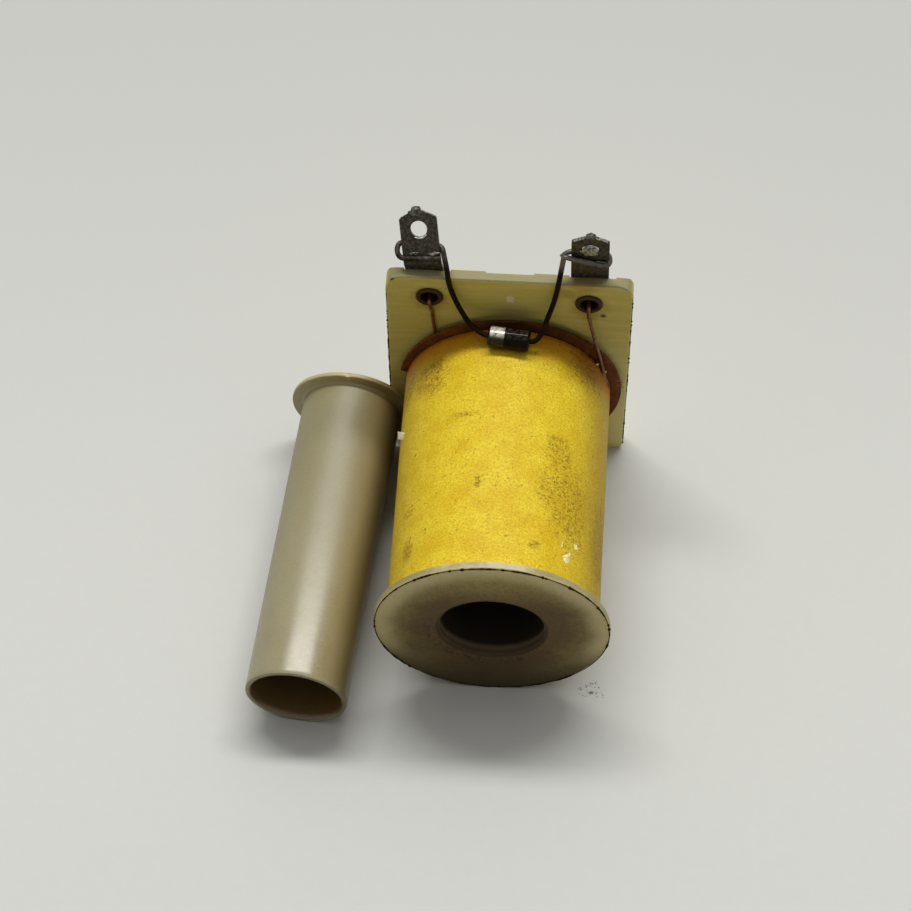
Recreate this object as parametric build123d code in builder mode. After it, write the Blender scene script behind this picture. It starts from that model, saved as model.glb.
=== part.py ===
from build123d import *
from math import atan, cos, hypot, radians, sin
import os

# Solenoid coil from a pinball machine, with its loose coil sleeve lying beside it. All sizes are
# millimetres. The origin is the centre of the bore in the outer face of the round flange. +Y runs
# along the bore to the terminal plate, +Z is up and +X is to the right, seen from the round flange.
# The coil lies on its round flange and the lower edge of its plate, so the table is below the axis
# by the flange's radius.

os.makedirs("parts", exist_ok=True)

# Bobbin: one moulding with a tube, a round flange in front and a terminal plate behind.
coil_length = 38.1
bore_radius = 6.40
bore_lead_in = 0.30
tube_wall = 0.80
flange_radius = 14.29
flange_thickness = 1.08
plate_width = 30.2
plate_foot_width = 29.7
plate_height = 35.8
plate_web = 1.20
pad_height = 0.80
pad_lead_step = 0.22
pad_lead_drop = 1.0
plate_top_corner = 2.4
plate_bottom_corner = 1.0
moulded_edge = 0.18
channel_width = 5.7
channel_spacing = 20.1
channel_margin = 0.45
pocket_width = 5.9
gate_radius = 0.55
gate_height = 0.10
gate_drop = 4.0

# Winding, its end washer and the paper round it.
winding_radius = 12.50
wire_radius = 0.225
washer_radius = 13.96
washer_bore = 7.75
washer_thickness = 0.40
washer_offset_x = 0.28
washer_offset_z = 0.31
washer_slit_angle = 171.0
washer_slit_width = 38.0
paper_thickness = 0.20
paper_lap_thickness = 0.16
paper_lap_angle = 236.0
paper_lap_width = 34.0
notch_angle = 9.0
notch_width = 19.0
notch_depth = 1.05

# Terminal lugs and the hollow rivets that hold them to the plate.
eyelet_spacing = 19.46
eyelet_drop = 3.74
eyelet_bore = 1.10
eyelet_wall = 0.18
eyelet_head_radius = 1.69
eyelet_head_height = 0.33
eyelet_flare_radius = 1.72
eyelet_flare_height = 0.22
lug_width = 4.58
lug_thickness = 0.45
lug_bend_height = 4.85
lug_bend_radius = 0.40
lug_flat_length = 10.68
lug_roof = 1.12
lug_corner = 0.45
lug_hole_radius = 1.03
lug_hole_drop = 1.42
left_lug_lean = 9.9
right_lug_lean = 0.7
left_lug_tilt = 38.0
right_lug_tilt = 1.0

# Diode across the lugs.
diode_length = 5.1
diode_radius = 1.35
diode_edge = 0.22
diode_turn = -6.0
diode_centre_x = 0.20
diode_setback = 3.2
lead_radius = 0.33
die_radius = 0.62
die_thickness = 0.28
nail_head_radius = 0.90
nail_head_thickness = 0.35

# Solder.
bead_radius = 0.58
bead_spread = 0.16
joint_radius = 0.50
joint_length = 2.6
hole_solder_bulge = 0.22

# Loose sleeve: its lip lies beside the washer, a little under the wrapper's side.
sleeve_length = 42.2
sleeve_bore = 5.65
sleeve_wall = 0.63
sleeve_lip_radius = 7.78
sleeve_lip_thickness = 0.58
sleeve_root = 0.25
sleeve_edge = 0.12
sleeve_turn = 5.1
lip_tuck = 0.75
lip_clearance = 0.25

# Clearances between pieces.
seat_gap = 0.02
wire_gap = 0.03
hole_gap = 0.05

# Places that follow from the sizes above.
tube_radius = bore_radius + tube_wall
plate_face = coil_length - pad_height - plate_web
channel_floor = plate_face + plate_web
table = -flange_radius
plate_top = table + plate_height
eyelet_x = eyelet_spacing / 2
eyelet_z = plate_top - eyelet_drop
eyelet_radius = eyelet_bore + eyelet_wall
lug_back = channel_floor + lug_thickness
paper_bore = winding_radius + 2 * seat_gap
paper_radius = paper_bore + paper_thickness
washer_back = plate_face - 2 * wire_radius - 2 * wire_gap
washer_front = washer_back - washer_thickness
winding_front = flange_thickness + seat_gap
winding_back = washer_front - seat_gap
sleeve_radius = sleeve_bore + sleeve_wall


def upright(y):
    """Plane across the bore axis at y, with local x to the right and local y up."""
    return Plane(origin=(0, y, 0), x_dir=(1, 0, 0), z_dir=(0, -1, 0))


def wire_along(points, radii, radius):
    """Solid round wire along straight runs joined by arcs."""
    with BuildPart() as wire:
        with BuildLine() as route:
            FilletPolyline(*points, radius=radii)
        with BuildSketch(route.line ^ 0):
            Circle(radius)
        sweep(path=route.line)
    return wire


# Bobbin
with BuildPart() as bobbin:
    with BuildSketch(Plane.XY) as turned_section:
        with BuildLine():
            Polyline(
                (bore_radius, 0),
                (flange_radius, 0),
                (flange_radius, flange_thickness),
                (tube_radius, flange_thickness),
                (tube_radius, channel_floor),
                (bore_radius, channel_floor),
                close=True,
            )
        make_face()
        rim = turned_section.vertices().group_by(Axis.X)[-1]
        chamfer(rim, moulded_edge)
        mouth = turned_section.vertices().group_by(Axis.X)[0].sort_by(Axis.Y)[0]
        chamfer(mouth, bore_lead_in)
    revolve(axis=Axis.Y)
    plate_plane = upright(plate_face)
    with BuildSketch(plate_plane) as plate_outline:
        with BuildLine():
            Polyline(
                (-plate_foot_width / 2, table),
                (plate_foot_width / 2, table),
                (plate_width / 2, plate_top),
                (-plate_width / 2, plate_top),
                close=True,
            )
        make_face()
        fillet(plate_outline.vertices().group_by(Axis.Y)[-1], plate_top_corner)
        fillet(plate_outline.vertices().group_by(Axis.Y)[0], plate_bottom_corner)
        Circle(bore_radius, mode=Mode.SUBTRACT)
    extrude(amount=-(plate_web + pad_height))
    plate_rim = bobbin.edges().filter_by_position(Axis.Y, plate_face, plate_face)
    chamfer([edge for edge in plate_rim if hypot(edge.center().X, edge.center().Z) > tube_radius],
            moulded_edge)
    # Open channels behind the lugs and a pocket between them, all running out of the top edge.
    channel_foot = eyelet_z - lug_width / 2 - channel_margin
    channel_height = plate_top - channel_foot
    with BuildSketch(upright(coil_length)) as relief:
        with Locations(*[(side * channel_spacing / 2, channel_foot + channel_height)
                         for side in (-1, 1)]):
            Rectangle(channel_width, 2 * channel_height)
        with Locations((0, channel_foot + channel_height)):
            Rectangle(pocket_width, 2 * channel_height)
        fillet(relief.vertices().group_by(Axis.Y)[0], channel_margin)
    extrude(amount=pad_height, mode=Mode.SUBTRACT)
    # The pads slope down to the back at their top, so that the coil drops in behind its bracket.
    with BuildSketch(Plane.YZ.offset(-plate_width)):
        with BuildLine():
            Polyline(
                (channel_floor + pad_lead_step, plate_top),
                (coil_length, plate_top - pad_lead_drop),
                (coil_length, plate_top),
                close=True,
            )
        make_face()
    extrude(amount=2 * plate_width, mode=Mode.SUBTRACT)
    with BuildSketch(plate_plane):
        with Locations(*[(side * eyelet_x, eyelet_z) for side in (-1, 1)]):
            Circle(eyelet_radius + hole_gap)
    extrude(amount=-(plate_web + pad_height), mode=Mode.SUBTRACT)
    with BuildSketch(plate_plane):
        with Locations((0, plate_top - gate_drop)):
            Circle(gate_radius)
    extrude(amount=gate_height)
bobbin.part.label = "bobbin"
export_step(bobbin.part, "parts/bobbin.step")

# Winding: the enamelled wire's layers as one ring between the round flange and the washer.
with BuildPart() as winding:
    with BuildSketch(upright(winding_front)):
        Circle(winding_radius)
        Circle(tube_radius + seat_gap, mode=Mode.SUBTRACT)
    extrude(amount=-(winding_back - winding_front))
winding.part.label = "winding"
export_step(winding.part, "parts/winding.step")

# Washer of dark fibre, split so that it goes over the tube, and sitting a little off centre.
with BuildPart() as fibre_washer:
    with BuildSketch(upright(washer_front)) :
        with Locations((washer_offset_x, washer_offset_z)):
            Circle(washer_radius)
            Circle(washer_bore, mode=Mode.SUBTRACT)
        slit_start = radians(washer_slit_angle)
        slit_end = radians(washer_slit_angle + washer_slit_width)
        reach = 2 * washer_radius
        with BuildLine():
            Polyline(
                (washer_offset_x, washer_offset_z),
                (washer_offset_x + reach * cos(slit_start), washer_offset_z + reach * sin(slit_start)),
                (washer_offset_x + reach * cos(slit_end), washer_offset_z + reach * sin(slit_end)),
                close=True,
            )
        make_face(mode=Mode.SUBTRACT)
    extrude(amount=-washer_thickness)
fibre_washer.part.label = "fibre_washer"
export_step(fibre_washer.part, "parts/fibre_washer.step")

# Paper wrapper: its end laps over itself underneath, and the far edge is torn at the finish lead.
with BuildPart() as paper_wrapper:
    paper_front = winding_front + 4 * seat_gap
    paper_back = winding_back - 4 * seat_gap
    with BuildSketch(upright(paper_front)):
        Circle(paper_radius)
        Circle(paper_bore, mode=Mode.SUBTRACT)
    extrude(amount=-(paper_back - paper_front))
    with BuildSketch(upright(paper_front)) :
        Circle(paper_radius + paper_lap_thickness)
        Circle(paper_radius - paper_thickness / 2, mode=Mode.SUBTRACT)
        lap_start = radians(paper_lap_angle)
        lap_end = radians(paper_lap_angle + paper_lap_width)
        with BuildLine():
            Polyline(
                (0, 0),
                (2 * paper_radius * cos(lap_start), 2 * paper_radius * sin(lap_start)),
                (2 * paper_radius * cos(lap_end), 2 * paper_radius * sin(lap_end)),
                close=True,
            )
        make_face(mode=Mode.INTERSECT)
    extrude(amount=-(paper_back - paper_front))
    with BuildSketch(upright(paper_back - notch_depth)):
        notch_start = radians(notch_angle)
        notch_end = radians(notch_angle + notch_width)
        with BuildLine():
            Polyline(
                (0, 0),
                (2 * paper_radius * cos(notch_start), 2 * paper_radius * sin(notch_start)),
                (2 * paper_radius * cos(notch_end), 2 * paper_radius * sin(notch_end)),
                close=True,
            )
        make_face()
    extrude(amount=-2 * notch_depth, mode=Mode.SUBTRACT)
paper_wrapper.part.label = "paper_wrapper"
export_step(paper_wrapper.part, "parts/paper_wrapper.step")


def lug_seat(side, lean):
    """Plane of a lug's front face, at its eyelet, with local y up the lug and local z backwards."""
    hole = (side * eyelet_x, channel_floor, eyelet_z)
    facing = Plane(origin=hole, x_dir=(-1, 0, 0), z_dir=(0, 1, 0))
    return Plane(facing.location * Rot(0, 0, -lean))


def blade_plane(seat, tilt):
    """Plane of the front face of the lug's blade, where its bend ends."""
    bend_centre = lug_thickness + lug_bend_radius
    turned = seat.location * Pos(0, lug_bend_height, bend_centre) * Rot(tilt, 0, 0)
    return Plane(turned * Pos(0, 0, -bend_centre))


def blade_length(tilt):
    """Straight length of the blade up to its shoulders, so that every lug is cut from one blank."""
    return lug_flat_length - lug_bend_height - radians(tilt) * (lug_bend_radius + lug_thickness / 2)


def lug(seat, tilt):
    """Stamped lug: a round tail riveted to the plate, a neck, a bend and a blade with a wire hole."""
    blade = blade_plane(seat, tilt)
    shoulder = blade_length(tilt)
    with BuildPart() as piece:
        with BuildSketch(seat):
            Circle(lug_width / 2)
            with Locations((0, lug_bend_height / 2)):
                Rectangle(lug_width, lug_bend_height)
            Circle(eyelet_radius + hole_gap, mode=Mode.SUBTRACT)
        extrude(amount=lug_thickness)
        bend_start = Plane(seat.location * Pos(0, lug_bend_height, lug_thickness / 2) * Rot(-90, 0, 0))
        with BuildSketch(bend_start):
            Rectangle(lug_width, lug_thickness)
        bend_line = seat.location * Pos(0, lug_bend_height, lug_thickness + lug_bend_radius)
        revolve(axis=Axis(bend_line.position, seat.x_dir), revolution_arc=tilt)
        with BuildSketch(blade) as outline:
            with BuildLine():
                Polyline(
                    (-lug_width / 2, 0),
                    (lug_width / 2, 0),
                    (lug_width / 2, shoulder),
                    (0, shoulder + lug_roof),
                    (-lug_width / 2, shoulder),
                    close=True,
                )
            make_face()
            fillet(outline.vertices().group_by(Axis.Y)[1], lug_corner)
            with Locations((0, shoulder - lug_hole_drop)):
                Circle(lug_hole_radius, mode=Mode.SUBTRACT)
        extrude(amount=lug_thickness)
    return piece


def eyelet(side):
    """Hollow rivet: a rolled head in front of the plate and a flare behind the lug."""
    barrel_end = lug_back - plate_face + seat_gap + eyelet_flare_height
    head_front = -eyelet_head_height - seat_gap
    turning = Plane(origin=(side * eyelet_x, plate_face, eyelet_z), x_dir=(1, 0, 0), z_dir=(0, 0, 1))
    with BuildPart() as piece:
        with BuildSketch(turning) as section:
            with BuildLine():
                Polyline(
                    (eyelet_bore, head_front),
                    (eyelet_head_radius, head_front),
                    (eyelet_head_radius, -seat_gap),
                    (eyelet_radius, -seat_gap),
                    (eyelet_radius, barrel_end - eyelet_flare_height),
                    (eyelet_flare_radius, barrel_end - eyelet_flare_height),
                    (eyelet_bore, barrel_end),
                    close=True,
                )
            make_face()
            front = section.vertices().group_by(Axis.Y)[0]
            chamfer(front, eyelet_head_height * 0.45)
        revolve(axis=Axis(turning.origin, (0, 1, 0)))
    return piece


left_seat = lug_seat(-1, left_lug_lean)
right_seat = lug_seat(1, right_lug_lean)

lug_left = lug(left_seat, left_lug_tilt)
lug_left.part.label = "lug_left"
export_step(lug_left.part, "parts/lug_left.step")

lug_right = lug(right_seat, right_lug_tilt)
lug_right.part.label = "lug_right"
export_step(lug_right.part, "parts/lug_right.step")

eyelet_left = eyelet(-1)
eyelet_left.part.label = "eyelet_left"
export_step(eyelet_left.part, "parts/eyelet_left.step")

eyelet_right = eyelet(1)
eyelet_right.part.label = "eyelet_right"
export_step(eyelet_right.part, "parts/eyelet_right.step")

# Start lead: out of the left eyelet, down the plate, behind the washer, and through the washer's
# slit to the first layer of the winding.
wire_end = lug_back - wire_radius
over_head = plate_face - eyelet_head_height - seat_gap - wire_radius - wire_gap
on_plate = plate_face - wire_radius - wire_gap
exit_height = eyelet_z - eyelet_bore / 3
head_low = eyelet_z - eyelet_head_radius
first_layer_x = -(tube_radius + 6 * wire_radius)
slit_low = washer_offset_z + 2.5 * wire_radius
start_lead = wire_along(
    [
        (-eyelet_x, wire_end, exit_height),
        (-eyelet_x, over_head, exit_height),
        (-eyelet_x + 0.13, over_head, head_low - wire_gap),
        (-eyelet_x + 0.28, on_plate, head_low - 4 * wire_radius),
        (first_layer_x, on_plate, slit_low),
        (first_layer_x, winding_back + seat_gap, slit_low),
    ],
    [0.24, 0.3, 0.6, 0.24],
    wire_radius,
)
start_lead.part.label = "start_lead"
export_step(start_lead.part, "parts/start_lead.step")

# Finish lead: out of the right eyelet, in front of the washer, and on to the last layer.
over_washer = washer_front - wire_radius - wire_gap
last_layer = winding_radius + wire_radius + wire_gap
landing = radians(notch_angle + notch_width * 0.45)
last_turn = radians(notch_angle + notch_width * 0.15)
finish_lead = wire_along(
    [
        (eyelet_x, wire_end, exit_height),
        (eyelet_x, over_head, exit_height),
        (eyelet_x, over_head, head_low - wire_gap),
        (eyelet_x + 0.86, over_washer, washer_radius - 2.0),
        (eyelet_x + 1.61, over_washer, washer_radius - 5.9),
        (last_layer * cos(landing), paper_back - notch_depth * 0.45, last_layer * sin(landing)),
        (last_layer * cos(last_turn) + wire_gap, paper_back - notch_depth * 0.5,
         last_layer * sin(last_turn)),
    ],
    [0.24, 0.6, 1.6, 1.6, 0.4],
    wire_radius,
)
finish_lead.part.label = "finish_lead"
export_step(finish_lead.part, "parts/finish_lead.step")

# Diode: a moulded body on top of the wrapper, with the die held between two nail-headed leads.
diode_z = paper_radius + seat_gap + diode_radius
diode_y = plate_face - diode_setback
diode_place = Location((diode_centre_x, diode_y, diode_z), (0, 0, diode_turn))
diode_section = Plane(diode_place)
head_gap = die_thickness / 2 + seat_gap
head_end = head_gap + nail_head_thickness
with BuildPart() as diode_body:
    with BuildSketch(diode_section) as body_section:
        with Locations((0, diode_radius / 2)):
            Rectangle(diode_length, diode_radius)
        chamfer(body_section.vertices().group_by(Axis.Y)[-1], diode_edge)
        with Locations((0, (lead_radius + seat_gap) / 2)):
            Rectangle(diode_length, lead_radius + seat_gap, mode=Mode.SUBTRACT)
        with Locations((0, (nail_head_radius + seat_gap) / 2)):
            Rectangle(2 * (head_end + seat_gap), nail_head_radius + seat_gap, mode=Mode.SUBTRACT)
    revolve(axis=Axis(diode_section.origin, diode_section.x_dir))
diode_body.part.label = "diode_body"
export_step(diode_body.part, "parts/diode_body.step")

die_plane = Plane(diode_place * Rot(0, 90, 0))
with BuildPart() as diode_die:
    with BuildSketch(die_plane.offset(-die_thickness / 2)):
        Circle(die_radius)
    extrude(amount=die_thickness)
diode_die.part.label = "diode_die"
export_step(diode_die.part, "parts/diode_die.step")


def along_diode(distance):
    """Point on the diode's axis, at a distance from its centre."""
    return (diode_place * Pos(distance, 0, 0)).position


def on_blade(seat, tilt, across, up, depth):
    """Point beside a blade: across to the right, up from its bend, and depth behind its front face."""
    return (blade_plane(seat, tilt).location * Pos(-across, up, depth)).position


def diode_lead(end, points, radii):
    """Lead with its nail head against the die; end is -1 for the left lead and 1 for the right."""
    route_points = [along_diode(end * (head_gap + nail_head_thickness / 2)), *points]
    with BuildPart() as lead:
        with BuildLine() as route:
            FilletPolyline(*route_points, radius=radii)
        with BuildSketch(route.line ^ 0):
            Circle(lead_radius)
        sweep(path=route.line)
        with BuildSketch(die_plane.offset(end * head_gap)):
            Circle(nail_head_radius)
        extrude(amount=end * nail_head_thickness)
    return lead


# The leads climb in front of the plate, clear its top edge, and hook round the lugs' blades.
lead_climb = plate_face - lead_radius - 2 * wire_gap
beside = lug_width / 2 + lead_radius + 2 * wire_gap
ahead = -(lead_radius + 2 * wire_gap)
behind = lug_thickness + lead_radius + 2 * wire_gap
diode_end = diode_length / 2
diode_lead_cathode = diode_lead(
    -1,
    [
        along_diode(-diode_end - 0.75),
        (-4.90, lead_climb - 1.35, diode_z + 1.15),
        (-6.15, lead_climb - 0.50, plate_top - 4.25),
        (-7.05, lead_climb - 0.06, plate_top - 1.80),
        (-7.36, lead_climb, plate_top + 0.35),
        on_blade(left_seat, left_lug_tilt, beside + 0.22, 0.66, 0.10),
        on_blade(left_seat, left_lug_tilt, beside + 0.14, 1.35, behind),
        on_blade(left_seat, left_lug_tilt, -beside - 0.22, 2.20, behind),
        on_blade(left_seat, left_lug_tilt, -beside - 0.30, 0.88, ahead),
        on_blade(left_seat, left_lug_tilt, beside - 0.42, 0.42, ahead),
    ],
    [0.7, 1.0, 1.4, 1.4, 0.8, 0.45, 0.5, 0.5, 0.5],
)
diode_lead_cathode.part.label = "diode_lead_cathode"
export_step(diode_lead_cathode.part, "parts/diode_lead_cathode.step")

diode_lead_anode = diode_lead(
    1,
    [
        along_diode(diode_end + 0.75),
        (4.40, lead_climb - 1.35, diode_z + 1.20),
        (5.38, lead_climb - 0.50, plate_top - 3.30),
        (5.90, lead_climb, plate_top - 0.10),
        on_blade(right_seat, right_lug_tilt, -beside - 0.44, 3.30, ahead),
        on_blade(right_seat, right_lug_tilt, beside - 0.55, 1.86, ahead),
        on_blade(right_seat, right_lug_tilt, beside, 2.45, lug_thickness / 2),
        on_blade(right_seat, right_lug_tilt, beside - 0.55, 2.85, behind),
        on_blade(right_seat, right_lug_tilt, -beside + 0.25, 3.05, behind),
        on_blade(right_seat, right_lug_tilt, -beside - 0.74, 2.42, lug_thickness * 0.7),
    ],
    [0.7, 1.0, 1.4, 0.8, 0.45, 0.45, 0.45, 0.45, 0.45],
)
diode_lead_anode.part.label = "diode_lead_anode"
export_step(diode_lead_anode.part, "parts/diode_lead_anode.step")


def bead(seat, tilt):
    """Bead of solder that sits astride the tip of a lug's blade."""
    blade = blade_plane(seat, tilt)
    tip = blade_length(tilt) + lug_roof
    with BuildPart() as piece:
        with BuildSketch(blade.offset(-bead_spread)):
            with Locations((0, tip)):
                Circle(bead_radius)
        extrude(amount=lug_thickness + 2 * bead_spread)
        chamfer(piece.edges().filter_by(GeomType.CIRCLE), bead_spread * 0.9)
        # The blade's tip, grown by the seat clearance, is cut out of the bead.
        with BuildSketch(blade.offset(-seat_gap)):
            with BuildLine():
                Polyline(
                    (-lug_width / 2, tip - lug_roof + 2 * seat_gap),
                    (0, tip + 2 * seat_gap),
                    (lug_width / 2, tip - lug_roof + 2 * seat_gap),
                    (0, tip - 2 * lug_roof),
                    close=True,
                )
            make_face()
        extrude(amount=lug_thickness + 2 * seat_gap, mode=Mode.SUBTRACT)
    return piece


def joint(seat, tilt, up, lead_piece):
    """Run of solder along the back of a lug, under the lead that is hooked round it."""
    blade = blade_plane(seat, tilt)
    back = lug_thickness + seat_gap
    end = Plane(blade.location * Pos(-joint_length / 2, up, back) * Rot(0, 90, 0))
    with BuildPart() as piece:
        with BuildSketch(end):
            Circle(joint_radius)
            with Locations((joint_radius, 0)):
                Rectangle(2 * joint_radius, 2 * joint_radius, mode=Mode.SUBTRACT)
        extrude(amount=joint_length)
        add(lead_piece.part, mode=Mode.SUBTRACT)
    return piece


def eyelet_solder(side, lead_piece):
    """Solder that fills the back of an eyelet round the end of its wire."""
    plug = Plane(origin=(side * eyelet_x, coil_length, eyelet_z), x_dir=(1, 0, 0), z_dir=(0, -1, 0))
    plug_depth = coil_length - lug_back + lug_thickness
    with BuildPart() as piece:
        with BuildSketch(plug.offset(seat_gap)):
            Circle(eyelet_bore - seat_gap)
        extrude(amount=plug_depth)
        add(lead_piece.part, mode=Mode.SUBTRACT)
    return piece


solder_tip_left = bead(left_seat, left_lug_tilt)
solder_tip_left.part.label = "solder_tip_left"
export_step(solder_tip_left.part, "parts/solder_tip_left.step")

solder_tip_right = bead(right_seat, right_lug_tilt)
solder_tip_right.part.label = "solder_tip_right"
export_step(solder_tip_right.part, "parts/solder_tip_right.step")

solder_wrap_left = joint(left_seat, left_lug_tilt, 1.45, diode_lead_cathode)
solder_wrap_left.part.label = "solder_wrap_left"
export_step(solder_wrap_left.part, "parts/solder_wrap_left.step")

solder_wrap_right = joint(right_seat, right_lug_tilt, 2.60, diode_lead_anode)
solder_wrap_right.part.label = "solder_wrap_right"
export_step(solder_wrap_right.part, "parts/solder_wrap_right.step")

solder_eyelet_left = eyelet_solder(-1, start_lead)
solder_eyelet_left.part.label = "solder_eyelet_left"
export_step(solder_eyelet_left.part, "parts/solder_eyelet_left.step")

solder_eyelet_right = eyelet_solder(1, finish_lead)
solder_eyelet_right.part.label = "solder_eyelet_right"
export_step(solder_eyelet_right.part, "parts/solder_eyelet_right.step")

# The right lug's wire hole is closed by solder that bulges a little in front and behind.
right_blade = blade_plane(right_seat, right_lug_tilt)
hole_height = blade_length(right_lug_tilt) - lug_hole_drop
hole_plane = Plane(right_blade.location * Pos(0, hole_height, 0))
fill_radius = lug_hole_radius - seat_gap
with BuildPart() as solder_hole_right:
    with BuildSketch(hole_plane.offset(-hole_solder_bulge)):
        Circle(fill_radius)
    extrude(amount=lug_thickness + 2 * hole_solder_bulge)
    chamfer(solder_hole_right.edges().filter_by(GeomType.CIRCLE), hole_solder_bulge, hole_solder_bulge * 2)
solder_hole_right.part.label = "solder_hole_right"
export_step(solder_hole_right.part, "parts/solder_hole_right.step")

# Loose sleeve: it lies on its near end and its lip, so its axis rises slightly towards the lip.
sleeve_rise = atan((sleeve_lip_radius - sleeve_radius) / sleeve_length)
turn = radians(sleeve_turn)
sleeve_axis = Vector(sin(turn) * cos(sleeve_rise), cos(turn) * cos(sleeve_rise), sin(sleeve_rise))
lip_x = -(paper_radius + sleeve_lip_radius - lip_tuck)
lip_y = washer_front - lip_clearance + sleeve_lip_radius * sin(turn)
lip_z = table + sleeve_radius * cos(sleeve_rise) + sleeve_length * sin(sleeve_rise)
near_end = Vector(lip_x, lip_y, lip_z) - sleeve_axis * sleeve_length
sleeve_end = Plane(origin=near_end, z_dir=sleeve_axis)
sleeve_section = Plane(origin=near_end, x_dir=sleeve_end.x_dir,
                       z_dir=sleeve_end.x_dir.cross(sleeve_axis))
with BuildPart() as sleeve:
    with BuildSketch(sleeve_section) as half_section:
        with BuildLine():
            Polyline(
                (sleeve_bore, 0),
                (sleeve_radius, 0),
                (sleeve_radius, sleeve_length - sleeve_lip_thickness),
                (sleeve_lip_radius, sleeve_length - sleeve_lip_thickness),
                (sleeve_lip_radius, sleeve_length),
                (sleeve_bore, sleeve_length),
                close=True,
            )
        make_face()
        lip_corners = half_section.vertices().group_by(Axis.X)[-1]
        tube_corners = half_section.vertices().group_by(Axis.X)[1].sort_by(Axis.Y)
        chamfer([*lip_corners, tube_corners[0]], sleeve_edge)
        step = (sleeve_radius, sleeve_length - sleeve_lip_thickness)
        chamfer(half_section.vertices().sort_by_distance(step)[0], sleeve_root)
    revolve(axis=Axis(near_end, sleeve_axis))
sleeve.part.label = "sleeve"
export_step(sleeve.part, "parts/sleeve.step")
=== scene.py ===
import math
import random

import bpy
from mathutils import Matrix, Vector, noise


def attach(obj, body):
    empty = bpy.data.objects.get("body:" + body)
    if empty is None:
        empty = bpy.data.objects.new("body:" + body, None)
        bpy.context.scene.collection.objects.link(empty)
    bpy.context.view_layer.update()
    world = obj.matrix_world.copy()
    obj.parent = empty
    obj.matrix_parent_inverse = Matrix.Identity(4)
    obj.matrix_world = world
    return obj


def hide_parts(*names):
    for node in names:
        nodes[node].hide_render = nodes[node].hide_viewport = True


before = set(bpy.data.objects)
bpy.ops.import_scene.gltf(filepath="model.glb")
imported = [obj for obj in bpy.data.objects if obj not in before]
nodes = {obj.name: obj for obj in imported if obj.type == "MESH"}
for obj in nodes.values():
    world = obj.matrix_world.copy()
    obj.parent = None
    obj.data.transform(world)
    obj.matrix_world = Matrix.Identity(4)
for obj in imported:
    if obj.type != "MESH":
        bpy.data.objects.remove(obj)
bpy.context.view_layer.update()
MM = 0.001
print("solids in the frame:", len(nodes))

# %% [markdown]
# ## Sizes that several steps share
# All places and sizes below are millimetres of the part's own frame. The bobbin's axis is Y and
# passes through x = 0, z = 0, the front face of the round flange is at y = 0, and Z points up. The
# sleeve lies at a small angle, so it needs the place of its near end and the direction of its axis.
# %% Shared sizes
FLANGE_RADIUS = 14.29
BORE_RADIUS = 6.40
PLATE_FRONT = 36.24
PAPER_RADIUS = 12.73
TUBE_OUTSIDE, TUBE_BORE = 6.28, 5.65
TUBE_LENGTH, LIP_RADIUS, LIP_THICK = 42.2, 7.78, 0.58
LIP_START = TUBE_LENGTH - LIP_THICK
SLEEVE_END = Vector((-23.519, -6.375, -8.014))
SLEEVE_AXIS = Vector((0.088838, 0.995412, 0.035523))
print("bore left round the sleeve in mm:", round(BORE_RADIUS - TUBE_OUTSIDE, 2))

# %% [markdown]
# ## Camera
# The picture was taken from above the round flange with a long lens, so the sides hardly converge.
# The place and the turn of the camera were worked out from edges whose real sizes are known.
# A camera in Blender looks along its own -Z with +Y up, so the three measured directions become the
# columns of its matrix.
# %% Camera
PHOTO_SIDE = 911
FOCAL_PIXELS = 3489.16
SENSOR = 36.0
look_right = Vector((0.997989, 0.063059, -0.006460))
look_down = Vector((0.049676, -0.841333, -0.538230))
look_ahead = Vector((-0.039376, 0.536827, -0.842773))
eye = Vector((11.1493, -208.3705, 365.7107)) * MM
camera = bpy.data.objects.new("camera", bpy.data.cameras.new("camera"))
camera.data.sensor_width = SENSOR
camera.data.lens = FOCAL_PIXELS * SENSOR / PHOTO_SIDE
camera.data.clip_start = 0.01
camera.data.clip_end = 50
columns = Matrix((look_right, -look_down, -look_ahead)).transposed()
camera.matrix_world = Matrix.Translation(eye) @ columns.to_4x4()
bpy.context.scene.collection.objects.link(camera)
bpy.context.scene.camera = camera
bpy.context.scene.view_settings.view_transform = "Standard"
print("lens in mm:", round(camera.data.lens, 2))

# %% [markdown]
# ## Writing a material as arithmetic
# A shader is a graph of nodes. Joining them by hand hides the idea behind the plumbing, so a small
# class wraps one output socket and gives it +, - and *. A mask is then one line of arithmetic.
# %% Sockets with arithmetic
class Wire:
    """One output socket, which adds a Math node when it meets a number or another wire."""

    def __init__(self, graph, socket):
        self.graph = graph
        self.socket = socket

    def math(self, operation, *terms):
        return self.graph.node("ShaderNodeMath", {"operation": operation}, dict(enumerate(terms)))

    def __add__(self, other):
        return self.math("ADD", self, other)

    def __radd__(self, other):
        return self.math("ADD", other, self)

    def __sub__(self, other):
        return self.math("SUBTRACT", self, other)

    def __rsub__(self, other):
        return self.math("SUBTRACT", other, self)

    def __mul__(self, other):
        return self.math("MULTIPLY", self, other)

    def __rmul__(self, other):
        return self.math("MULTIPLY", other, self)

    def size(self):
        return self.math("ABSOLUTE", self)

    def sine(self):
        return self.math("SINE", self)

    def larger(self, other):
        return self.math("MAXIMUM", self, other)


print("a wire adds, subtracts and multiplies")

# %% [markdown]
# `Graph` holds a tree of nodes, and its method `node` makes every kind of node that isn't plain
# arithmetic. The helpers under it come back all the time: a vector's parts, Vector Math, a soft
# step from one value to another, and a mix of two colours or of many in turn.
# %% Graph of nodes
def colour(code):
    """Linear colour from a hex code such as c8b070."""
    parts = [int(code[i : i + 2], 16) / 255 for i in (0, 2, 4)]
    return (*[p / 12.92 if p <= 0.04045 else ((p + 0.055) / 1.055) ** 2.4 for p in parts], 1.0)


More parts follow.
